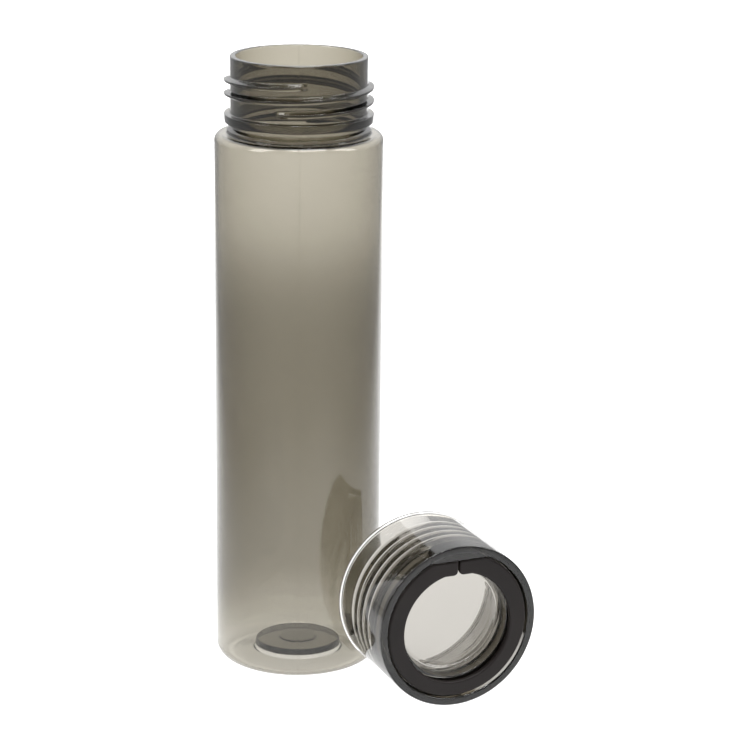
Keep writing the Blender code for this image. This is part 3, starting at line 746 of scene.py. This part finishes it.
class MakeCapShell(bpy.types.Operator):
    """Make the cap's clear shell and the grey seal in it"""

    bl_idname = "mesh.make_cap_shell"
    bl_label = "Cap shell and seal"

    def execute(self, context):
        cap, loop = context.scene.cap_sizes, context.scene.loop_sizes
        at, hold = cap_levels(cap, loop), cap_hold(cap)
        section = thread_section(cap, -1.0)
        columns = []
        for column in range(cap.columns + 1):
            place = column / cap.columns
            columns.append((cap.thread_angle - place * FULL_TURN, cap_column(cap, at, section, place)))
        shell = turned("clear_cap", columns, hold)
        flat, roof_underside = at["flat"] + cap.gap, at["roof_underside"]
        roof = half_moon(
            "roof_tool", at["bore"] + ROOF_BITE, flat, roof_underside - cap.gap, at["roof_top"], hold)
        pocket = half_moon(
            "pocket_tool", at["bore"] + loop.tab_let_in, flat - cap.gap, at["tab_end"] - TOOL_OVERRUN,
            roof_underside, hold)
        apply_tool(pocket, tab_limit(loop, at, cap.gap, hold), "INTERSECT")
        apply_tool(shell, roof, "UNION")
        apply_tool(shell, pocket, "DIFFERENCE")
        plastic = clear_plastic("pale_smoky_plastic", context.scene.plastic_look.cap_tint)
        dress(shell, plastic, "cap", "tinted_plastic", "cap_shell")

        inner, outer = cap.cup_radius + cap.gap, at["bore"] - cap.gap
        low, high, edge = cap.seal_underside, at["seal_top"], cap.seal_round
        middle, top_edge = (inner + outer) / 2.0, edge * SEAL_TOP_SHARE
        ring = rounded([
            (middle, low, 0.0), (outer, low, edge), (outer, high, top_edge), (inner, high, top_edge),
            (inner, low, edge), (middle, low, 0.0),
        ])[:-1]
        columns = [(column / cap.columns * FULL_TURN, ring) for column in range(cap.columns + 1)]
        seal = turned("grey_seal", columns, hold, closed=True)
        seal_flat = half_moon(
            "seal_tool", outer + TOOL_OVERRUN, flat - cap.gap, low - TOOL_OVERRUN, high + TOOL_OVERRUN, hold)
        apply_tool(seal, seal_flat, "DIFFERENCE")
        dress(seal, seal_rubber(), "cap", "seal_rubber", "cap_seal")
        return {"FINISHED"}


def loop_outline(loop, at):
    """The C shape of the loop from above: round, with a straight length to each side of the slit."""
    half_slit, notch = loop.slit_width / 2.0, loop.notch_round
    inner_flat = at["loop_inner"] - loop.inner_setback
    outer_start = math.degrees(math.asin(at["flat"] / at["loop_outer"]))
    inner_start = math.degrees(math.asin(inner_flat / at["loop_inner"]))
    notch_x, notch_y = half_slit + notch, inner_flat - loop.hole_drop + notch
    outline = [(half_slit, at["flat"])]
    outline += arc((0.0, 0.0), at["loop_outer"], outer_start, -180.0 - outer_start, loop.columns)
    outline += [(-half_slit, at["flat"])]
    outline += arc((-notch_x, notch_y), notch, 0.0, -90.0, INNER_ROUND_STEPS)
    outline += arc((0.0, -loop.hole_drop), at["loop_inner"], -180.0 - inner_start, inner_start, loop.columns)
    outline += arc((notch_x, notch_y), notch, -90.0, -180.0, INNER_ROUND_STEPS)
    return outline


class MakeCarryLoop(bpy.types.Operator):
    """Make the black carry loop and the tab that it bends on"""

    bl_idname = "mesh.make_carry_loop"
    bl_label = "Carry loop and its root"

    def execute(self, context):
        cap, loop = context.scene.cap_sizes, context.scene.loop_sizes
        at, hold = cap_levels(cap, loop), cap_hold(cap)
        low = at["loop_top"] - loop.thickness
        piece = extruded("black_loop", loop_outline(loop, at), low, at["loop_top"], hold)
        rounding = piece.modifiers.new("rounded_edges", "BEVEL")
        rounding.width = loop.edge_round
        rounding.segments = BEVEL_SEGMENTS
        rounding.limit_method = "ANGLE"
        rounding.angle_limit = BEVEL_ANGLE
        rounding.harden_normals = True
        plastic = soft_plastic()
        dress(piece, plastic, "loop", "soft_black_plastic", "carry_loop")

        radius, flat = at["bore"] + loop.tab_let_in + loop.tab_bite, at["flat"] + cap.gap
        low, high = at["tab_end"] - TOOL_OVERRUN, at["roof_underside"] + loop.tab_bite
        tab = half_moon("black_tab", radius, flat, low, high, hold)
        apply_tool(tab, tab_limit(loop, at, 0.0, hold), "INTERSECT")
        dress(tab, plastic, "cap", "soft_black_plastic", "loop_root")
        return {"FINISHED"}


def look_matrix(place, turn, pitch, roll):
    """A camera matrix from its place, its turn to the right of +Y, its pitch down and its roll."""
    ahead = Vector((math.sin(turn) * math.cos(pitch), math.cos(turn) * math.cos(pitch), -math.sin(pitch)))
    right = Vector((math.cos(turn), -math.sin(turn), 0.0))
    above = right.cross(ahead)
    leaned = right * math.cos(roll) + above * math.sin(roll)
    risen = above * math.cos(roll) - right * math.sin(roll)
    axes = Matrix((leaned, risen, -ahead)).transposed().to_4x4()
    return Matrix.Translation(place) @ axes


def soft_box(name, aim, azimuth, elevation, distance, size, power):
    """An area light that faces a point, from an azimuth round it and an elevation above the ground."""
    light = bpy.data.lights.new(name, "AREA")
    light.shape = "RECTANGLE"
    light.size, light.size_y = size
    light.energy = power
    level = math.cos(elevation)
    out = Vector((math.cos(azimuth) * level, math.sin(azimuth) * level, math.sin(elevation)))
    item = bpy.data.objects.new(name, light)
    bpy.context.scene.collection.objects.link(item)
    facing = out.to_track_quat("Z", "Y").to_matrix().to_4x4()
    item.matrix_world = Matrix.Translation(aim + out * distance) @ facing


def glow_nodes(tree, source, direction, reach, values):
    """Nodes that ease from one value to another along a direction of a texture coordinate."""
    nodes, links = tree.nodes, tree.links
    coordinate = nodes.new("ShaderNodeTexCoord")
    along = nodes.new("ShaderNodeVectorMath")
    along.operation = "DOT_PRODUCT"
    along.inputs[1].default_value = direction
    links.new(coordinate.outputs[source], along.inputs[0])
    ramp = nodes.new("ShaderNodeMapRange")
    ramp.interpolation_type = "SMOOTHSTEP"
    ramp.inputs["From Min"].default_value, ramp.inputs["From Max"].default_value = reach
    ramp.inputs["To Min"].default_value, ramp.inputs["To Max"].default_value = values
    links.new(along.outputs["Value"], ramp.inputs["Value"])
    return ramp


def floor_material(look, away):
    """A pale floor that gives off more light the further it lies behind the bottle, and less aside."""
    material = bpy.data.materials.new("pale_floor")
    material.use_nodes = True
    tree = material.node_tree
    shader = tree.nodes["Principled BSDF"]
    shader.inputs["Base Color"].default_value = (look.floor_shade,) * 3 + (1.0,)
    shader.inputs["Roughness"].default_value = FLOOR_ROUGHNESS
    shader.inputs["Emission Color"].default_value = (1.0, 1.0, 1.0, 1.0)
    glow = glow_nodes(tree, "Object", away, FRONT_REACH, (look.front_glow, look.near_glow))
    spread = look.glow_spread
    steps = [(away, MIDDLE_REACH, look.middle_glow), (away, BACK_REACH, look.back_glow)]
    for side in (1.0, -1.0):
        outward = (
            side * away[1] * math.cos(spread) - away[0] * math.sin(spread),
            -side * away[0] * math.cos(spread) - away[1] * math.sin(spread), 0.0)
        steps.append((outward, SIDE_REACH, look.side_glow))
    for direction, reach, value in steps:
        step = glow_nodes(tree, "Object", direction, reach, (0.0, value))
        tree.links.new(glow.outputs["Result"], step.inputs["To Min"])
        glow = step
    tree.links.new(glow.outputs["Result"], shader.inputs["Emission Strength"])
    return material


def make_surroundings(look, away):
    """A pale world that is darker on the camera's side and brightest in a band behind the bottle."""
    world = bpy.data.worlds.new("pale_surroundings")
    bpy.context.scene.world = world
    world.use_nodes = True
    tree = world.node_tree
    upward = (0.0, 0.0, 1.0)
    rise = glow_nodes(tree, "Generated", upward, SKY_RISE, (look.sky_low, look.sky_band))
    level = glow_nodes(tree, "Generated", away, SKY_FRONT, (look.front_glow, look.sky_band))
    overhead = glow_nodes(tree, "Generated", upward, SKY_TOP, (look.sky_band, look.sky_high))
    background = tree.nodes["Background"]
    background.inputs["Color"].default_value = (1.0, 1.0, 1.0, 1.0)
    tree.links.new(rise.outputs["Result"], level.inputs["To Max"])
    tree.links.new(level.outputs["Result"], overhead.inputs["To Min"])
    tree.links.new(overhead.outputs["Result"], background.inputs["Strength"])


class MakeStudio(bpy.types.Operator):
    """Make the pale floor, the soft lights, the surroundings and the camera"""

    bl_idname = "scene.make_pale_studio"
    bl_label = "Pale studio"

    def execute(self, context):
        look = context.scene.studio_look
        away = (math.sin(look.camera_turn), math.cos(look.camera_turn), 0.0)
        shape = bmesh.new()
        bmesh.ops.create_grid(shape, x_segments=1, y_segments=1, size=FLOOR_HALF_SIZE)
        floor = finish_mesh(shape, "pale_floor", Matrix.Identity(4))
        floor.data.materials.append(floor_material(look, away))
        make_surroundings(look, away)

        camera_azimuth = -math.pi / 2.0 - look.camera_turn
        for name, aside, elevation, distance, size, share in SOFT_BOXES:
            azimuth = camera_azimuth + math.radians(aside)
            power = look.box_power * share
            soft_box(name, Vector(LIGHTS_AIM), azimuth, math.radians(elevation), distance, size, power)

        camera = bpy.data.objects.new("camera", bpy.data.cameras.new("camera"))
        context.scene.collection.objects.link(camera)
        camera.data.lens = look.lens
        camera.data.sensor_width = SENSOR_WIDTH
        camera.data.clip_end = CLIP_END
        camera.matrix_world = look_matrix(
            Vector(look.camera_place), look.camera_turn, look.camera_pitch, look.camera_roll)
        context.scene.camera = camera
        context.scene.view_settings.view_transform = "Standard"
        return {"FINISHED"}


class BottlePanel(bpy.types.Panel):
    """Lists what the add-on makes"""

    bl_idname = "VIEW3D_PT_tinted_bottle"
    bl_label = "Tinted bottle"
    bl_space_type = "VIEW_3D"
    bl_region_type = "UI"
    bl_category = "Bottle"

    def draw(self, context):
        for maker in MAKERS:
            self.layout.operator(maker.bl_idname)
        for holder in HOLDERS:
            box = self.layout.box()
            settings = getattr(context.scene, holder)
            for key in settings.bl_rna.properties.keys():
                if key not in ("rna_type", "name"):
                    box.prop(settings, key)


MAKERS = (MakeBottle, MakeCapShell, MakeCarryLoop, MakeStudio)
HOLDERS = {
    "bottle_sizes": BottleSizes, "cap_sizes": CapSizes, "loop_sizes": LoopSizes, "plastic_look": PlasticLook,
    "studio_look": StudioLook,
}


def register():
    """Register the property groups, the operators and the panel."""
    for holder, group in HOLDERS.items():
        bpy.utils.register_class(group)
        setattr(bpy.types.Scene, holder, PointerProperty(type=group))
    for maker in MAKERS:
        bpy.utils.register_class(maker)
    bpy.utils.register_class(BottlePanel)


def unregister():
    """Take out what register added."""
    bpy.utils.unregister_class(BottlePanel)
    for maker in reversed(MAKERS):
        bpy.utils.unregister_class(maker)
    for holder, group in HOLDERS.items():
        delattr(bpy.types.Scene, holder)
        bpy.utils.unregister_class(group)


def main():
    """Make every piece and the studio."""
    register()
    bpy.ops.mesh.make_tinted_bottle()
    bpy.ops.mesh.make_cap_shell()
    bpy.ops.mesh.make_carry_loop()
    bpy.ops.scene.make_pale_studio()


if __name__ == "__main__":
    main()
